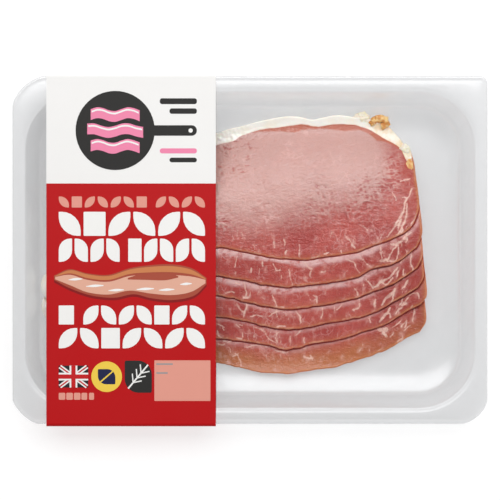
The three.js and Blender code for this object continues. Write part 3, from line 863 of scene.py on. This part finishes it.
for name, (x, y), half, pale, dimple, raised in SCRAPS:
    form = bmesh.new()
    bmesh.ops.create_icosphere(form, subdivisions=5, radius=1.0)
    foot = from_grid(beds[TOP], np.array([[x * 0.001, y * 0.001]]))[0]
    middle = foot + half[2] * 0.0011 + raised
    for vert in form.verts:
        way = vert.co.copy()
        swell = 1 + 0.34 * noise.fractal(way * 1.3 + Vector((x, y, 0)), 1.0, 2.0, 3)
        across = math.hypot(way.x, way.y)
        sink = dimple * math.exp(-(across / 0.42) ** 2) * (way.z > 0)
        rise = way.z * swell - sink + 0.12 * dimple * math.sin(3 * math.atan2(way.y, way.x))
        across_x, across_y = way.x * half[0] * swell, way.y * half[1] * swell
        vert.co = Vector((x + across_x, y + across_y, rise * half[2])) * 0.001
        vert.co.z += middle
    keep_scrap(name, form, pale)

# The lid is a thin clear film, heat-sealed all round the land and trimmed with the tray, so it
# follows the rim's outline. Over the cavity it is a little slack.
FILM_LEVEL = 0.02075
FILM = 0.00012
film_rings = [rim_ring(s) for s in (0.0, 0.0008, 0.003, 0.0064, 0.0095, 0.0125, 0.016, 0.02, 0.024, 0.028,
                                    0.033, 0.038, 0.043, 0.048, 0.053, 0.058, 0.063, 0.068, 0.073)]
film_form = sheet_from_rings(film_rings, [FILM_LEVEL] * len(film_rings))
spots = np.array([v.co[:2] for v in film_form.verts])
inside = np.minimum(CAVITY_HALF[0] - abs(spots[:, 0]), CAVITY_HALF[1] - abs(spots[:, 1]))
slack = ease(inside / 0.02) * (ripple(spots, 0.031, 7) * 0.00022 + ripple(spots, 0.013, 8) * 0.00008)
for vert, sag in zip(film_form.verts, slack):
    vert.co.z += sag + 0.0001 * (sag != 0)
peel_film = lay_in(
    "peel_film", mesh_of("peel_film", film_form),
    clear_plastic("clear_peel_film", clear=(0.984, 0.986, 0.988), steep=(0.95, 0.953, 0.957), haze=0.003,
                  gloss=0.02, bloom=0.0, roughness=0.07, ripple_size=34.0, ripple_depth=0.0002),
    "clear_film", "lid_film",
)
thicken(peel_film, "film", FILM, 1)

# The band is coated card, creased at its long folds, wrapped round the pack and glued in a lap
# under the tray. Its face is white at the back and red over the rest.
CARD = 0.00045
BAND_X = (-0.105, -0.0176)
BAND_HALF = 0.091
BAND_FOOT = 0.0715
BAND_TOP = 0.02155
BAND_EDGE = 0.0019
WHITE_ABOVE = 0.0343

section = [(-BAND_FOOT, 0), (BAND_FOOT, 0), (BAND_HALF, BAND_TOP - BAND_EDGE), (BAND_HALF, BAND_TOP),
           (-BAND_HALF, BAND_TOP), (-BAND_HALF, BAND_TOP - BAND_EDGE)]
band = bmesh.new()
ends = [band.verts.new((BAND_X[0], y, z)) for y, z in section]
loop = [band.edges.new((a, b)) for a, b in zip(ends, ends[1:] + ends[:1])]
pulled = bmesh.ops.extrude_edge_only(band, edges=loop)["geom"]
bmesh.ops.translate(band, verts=verts_in(pulled), vec=(BAND_X[1] - BAND_X[0], 0, 0))
bmesh.ops.recalc_face_normals(band, faces=band.faces)
if max(band.faces, key=lambda f: f.calc_center_median().z).normal.z < 0:
    bmesh.ops.reverse_faces(band, faces=band.faces)
folds = [e for e in band.edges if abs(e.verts[0].co.x - e.verts[1].co.x) > 0.05]
upper_folds = [e for e in folds if e.verts[0].co.z > BAND_TOP - 1e-6]
low_folds = [e for e in folds if e.verts[0].co.z < 1e-6]
for edges, roundness, segments in ((upper_folds, 0.0017, 7), (low_folds, 0.0008, 4)):
    bmesh.ops.bevel(band, geom=edges, offset=roundness, segments=segments, profile=0.5,
                    affect="EDGES", material=-1)
bmesh.ops.bisect_plane(band, geom=band.verts[:] + band.edges[:] + band.faces[:],
                       plane_co=(0, WHITE_ABOVE, 0), plane_no=(0, 1, 0))
for face in band.faces:
    face.material_index = 1 if face.calc_center_median().y < WHITE_ABOVE else 0


def printed(name, ink, roughness=0.42):
    """Ink on coated board under a thin satin varnish, with its faint unevenness."""
    finish, tree = new_finish(name)
    place = add(tree, "TexCoord").outputs["Object"]
    mottle = cloud_on(tree, place, 70.0, 3.0)
    worn = tuple(c * 0.86 for c in ink)
    grain = add(tree, "Bump", Height=cloud_on(tree, place, 2600.0, 2.0), Strength=0.12, Distance=0.0001)
    paint = add(
        tree, "BsdfPrincipled", Base_Color=toned(tree, ink, worn, span(tree, mottle, 0.3, 0.7, 0.0, 0.1)),
        Roughness=span(tree, mottle, 0.0, 1.0, roughness - 0.06, roughness + 0.08),
        Normal=grain.outputs["Normal"], Specular_IOR_Level=0.2,
    )
    add(tree, "OutputMaterial", Surface=paint.outputs["BSDF"])
    return finish


card_mesh = mesh_of("card_band", band, smooth=False)
card_mesh.materials.append(printed("card_white", (0.81, 0.80, 0.785)))
card_mesh.materials.append(printed("card_red", (0.445, 0.0015, 0.0035)))
card_band = lay_in("card_band", card_mesh, None, "printed_card", "sleeve")
thicken(card_band, "card", CARD, -1)

# The print is in flat inks, each laid over the one before: a pan with three strips in it on the
# white field, rows of plain leaves and blocks, a fried rasher, and a row of badges on the red one.
INK = 0.00003
inks = {
    "charcoal": (0.022, 0.021, 0.02), "pink": (0.80, 0.23, 0.38), "white": (0.82, 0.81, 0.79),
    "salmon": (0.70, 0.30, 0.235), "shadow_red": (0.22, 0.006, 0.007), "rind_brown": (0.55, 0.20, 0.075),
    "fried_pink": (0.70, 0.38, 0.28), "lean_brown": (0.36, 0.07, 0.04), "flag_blue": (0.02, 0.02, 0.022),
    "signal_red": (0.50, 0.012, 0.014), "yellow": (0.80, 0.56, 0.07), "navy": (0.012, 0.016, 0.06),
    "grey": (0.30, 0.29, 0.29),
}
ink_forms = {name: bmesh.new() for name in inks}


def on_card(x, y, level=1):
    """A place on the band's face, from millimetres on the pack."""
    return Vector((x * 0.001, y * 0.001, BAND_TOP + INK * 1.4 * level))


def ribbon(ink, upper, lower, level=1, steps=8):
    """A field of ink between two smooth lines that run the same way."""
    top, foot = (smooth_through(line, steps) if len(line) > 2 else np.array(line, float)
                 for line in (upper, lower))
    count = max(len(top), len(foot))
    share = np.linspace(0, 1, count)
    top, foot = (np.stack([np.interp(share, np.linspace(0, 1, len(line)), line[:, k]) for k in (0, 1)], 1)
                 for line in (top, foot))
    form = ink_forms[ink]
    made = bmesh.ops.create_grid(form, x_segments=count - 1, y_segments=1, size=1)["verts"]
    for vert in made:
        i = round((vert.co.x + 1) / 2 * (count - 1))
        vert.co = on_card(*(top[i] if vert.co.y > 0 else foot[i]), level)


def block(ink, x0, y0, x1, y1, corner=0.6, level=1, other_corner=None):
    """A block of ink with its corners rounded, each opposite pair alike."""
    form = ink_forms[ink]
    made = bmesh.ops.create_grid(form, x_segments=1, y_segments=1, size=0.5)["verts"]
    rising = [v for v in made if v.co.x * v.co.y > 0]
    falling = [v for v in made if v.co.x * v.co.y < 0]
    for vert in made:
        vert.co = on_card(x0 if vert.co.x < 0 else x1, y0 if vert.co.y < 0 else y1, level)
    for corners, size in ((rising, corner), (falling, corner if other_corner is None else other_corner)):
        if size:
            bmesh.ops.bevel(form, geom=corners, offset=size * 0.001, segments=6, profile=0.5,
                            affect="VERTICES", material=-1)


def disc(ink, x, y, radius, level=1, hole=0.0):
    """A disc of ink, or a ring where a hole is given."""
    form = ink_forms[ink]
    made = bmesh.ops.create_circle(form, cap_ends=True, segments=56, radius=radius * 0.001,
                                   matrix=Matrix.Translation(on_card(x, y, level)))["verts"]
    if hole:
        face = made[0].link_faces[0]
        bmesh.ops.inset_region(form, faces=[face], thickness=(radius - hole) * 0.001, use_even_offset=True)
        bmesh.ops.delete(form, geom=[face], context="FACES")


def wavy(ink, x0, x1, y, thick, sway, level, phase=0.0):
    xs = np.linspace(x0, x1, 9)
    middle = [y + sway * math.sin((x - x0) / (x1 - x0) * 3.2 * math.pi + phase) for x in xs]
    ribbon(ink, [(x, m + thick / 2) for x, m in zip(xs, middle)],
           [(x, m - thick / 2) for x, m in zip(xs, middle)], level, 6)


PAN = (-69.5, 61.6)
block("charcoal", -52.0, 58.9, -27.4, 64.3, 2.6)
disc("white", -30.6, 61.6, 1.1, 2)
disc("charcoal", *PAN, 20.4, 2)
disc("grey", *PAN, 17.9, 3, hole=17.2)
for row, phase in ((8.2, 0.0), (0.0, 0.9), (-8.2, 0.2)):
    half = 12.6 if row else 14.4
    wavy("pink", PAN[0] - half, PAN[0] + half, PAN[1] + row, 5.6, 1.0, 3, phase)
    wavy("white", PAN[0] - half + 0.5, PAN[0] + half - 0.5, PAN[1] + row + 1.5, 0.9, 1.0, 4, phase)
for ink, x0, y0, y1 in (("charcoal", -46.5, 75.2, 78.2), ("charcoal", -41.5, 70.2, 73.0),
                        ("pink", -46.5, 49.8, 52.4), ("charcoal", -41.5, 45.2, 47.6)):
    block(ink, x0, y0, -27.4, y1, 1.2)


def shape_row(ink, groups, y0, y1, gap, space, first=0):
    """A row of plain leaves and blocks, in groups set apart by a space."""
    left, right = -98.6, -23.2
    wide = (right - left - space * (len(groups) - 1)
            - gap * sum(count - 1 for count in groups)) / sum(groups)
    x, turn, most = left, first, min(wide, y1 - y0) * 0.86
    for count in groups:
        for _ in range(count):
            rising, falling = ((most, 0.4), (0.4, 0.4), (0.4, most), (most, 0.4), (0.4, most))[turn % 5]
            block(ink, x, y0, x + wide, y1, rising, 1, falling)
            x += wide + gap
            turn += 1
        x += space - gap


shape_row("salmon", (7, 4), 21.9, 27.6, 1.4, 4.6)
shape_row("white", (6,), 7.3, 19.7, 1.5, 0)
shape_row("white", (4, 5), -6.1, 5.9, 1.3, 4.4, 2)
shape_row("white", (1, 7), -38.4, -28.6, 1.3, 4.8, 1)
shape_row("white", (7,), -50.7, -40.2, 1.4, 0, 4)

FRIED_TOP = [(-101, -13.2), (-93, -9.9), (-84, -12.0), (-73, -12.8), (-62, -9.4), (-51, -7.8), (-40, -7.4),
             (-30, -9.4), (-22.4, -14.4)]
FRIED_FOOT = [(-101, -15.4), (-93, -19.6), (-82, -23.4), (-70, -24.6), (-60, -22.8), (-51, -24.8),
              (-40, -25.8), (-29, -23.6), (-22.4, -17.6)]


def sunk(line, down):
    return [(x, y - down) for x, y in line]


def between(share):
    return [(a[0] * 0.985 - 0.9, a[1] + (b[1] - a[1]) * share) for a, b in zip(FRIED_TOP, FRIED_FOOT)]


ribbon("shadow_red", sunk(FRIED_TOP, 1.6), sunk(FRIED_FOOT, 1.3))
ribbon("lean_brown", FRIED_TOP, FRIED_FOOT, 2)
ribbon("rind_brown", between(0.05), between(0.22), 3)
ribbon("fried_pink", between(0.3), between(0.86), 3)
ribbon("lean_brown", [(-63, -14.4), (-54, -11.8), (-44, -11.6), (-37, -13.4)],
       [(-63, -15.2), (-54, -15.4), (-44, -15.6), (-37, -14.2)], 4)
for x, y, long in ((-90, -15.2, 7), (-80, -18.6, 9), (-69, -20.8, 8), (-54, -20.2, 9), (-43, -20.6, 8),
                   (-33, -17.6, 6)):
    ribbon("white", [(x - long / 2, y), (x, y + 0.8), (x + long / 2, y + 0.5)],
           [(x - long / 2, y - 0.3), (x, y - 0.5), (x + long / 2, y + 0.1)], 4)

FLAG = (-98.6, -70.9, -83.4, -59.6)
fx0, fy0, fx1, fy1 = FLAG
cx, cy = (fx0 + fx1) / 2, (fy0 + fy1) / 2
block("flag_blue", *FLAG, 0)


def stripe(ink, a, b, wide, level):
    way = Vector((b[0] - a[0], b[1] - a[1])).normalized() * wide / 2
    ribbon(ink, [(a[0] - way.y, a[1] + way.x), (b[0] - way.y, b[1] + way.x)],
           [(a[0] + way.y, a[1] - way.x), (b[0] + way.y, b[1] - way.x)], level)


for start, stop in ((fy0 + 0.5, fy1 - 0.5), (fy1 - 0.5, fy0 + 0.5)):
    stripe("white", (fx0 + 0.6, start), (fx1 - 0.6, stop), 2.1, 2)
    stripe("signal_red", (fx0 + 0.6, start), (fx1 - 0.6, stop), 0.7, 3)
for ink, wide, level in (("white", 4.0, 4), ("signal_red", 2.2, 6)):
    stripe(ink, (fx0, cy), (fx1, cy), wide, level)
    stripe(ink, (cx, fy0), (cx, fy1), wide, level + 1)

disc("yellow", -73.9, -65.3, 7.9)
block("navy", -78.4, -69.2, -69.4, -61.4, 4.2, 2, 0.5)
stripe("yellow", (-77.3, -68.2), (-70.8, -62.6), 0.7, 3)

LEAF = (-64.6, -73.6, -50.6, -57.0)
block("charcoal", *LEAF, 7.2, 1, 1.0)
stripe("white", (-62.8, -71.4), (-52.6, -59.2), 0.8, 2)
for along in (0.25, 0.45, 0.65):
    x, y = -62.8 + 10.2 * along, -71.4 + 12.2 * along
    stripe("white", (x, y), (x + 4.4, y + 0.9), 0.6, 3)
    stripe("white", (x, y), (x - 0.4, y + 4.6), 0.6, 4)

block("salmon", -49.3, -77.8, -20.4, -56.9, 0.4)
block("grey", -48.3, -59.2, -39.8, -58.4, 0.2, 2)
block("grey", -48.3, -63.8, -42.4, -63.0, 0.2, 2)
for i, wide in enumerate((3.4, 3.4, 3.4, 3.0, 2.6)):
    block("salmon", -98.6 + i * 3.9, -77.2, -98.6 + i * 3.9 + wide, -73.6, 0.6)

for name, form in ink_forms.items():
    bmesh.ops.recalc_face_normals(form, faces=form.faces)
    flipped = [f for f in form.faces if f.normal.z < 0]
    bmesh.ops.reverse_faces(form, faces=flipped)
    ink_layer = lay_in(f"print_{name}", mesh_of(f"print_{name}", form, smooth=False),
                       printed(f"ink_{name}", inks[name]), "printed_card")
    thicken(ink_layer, "ink", INK, -1)
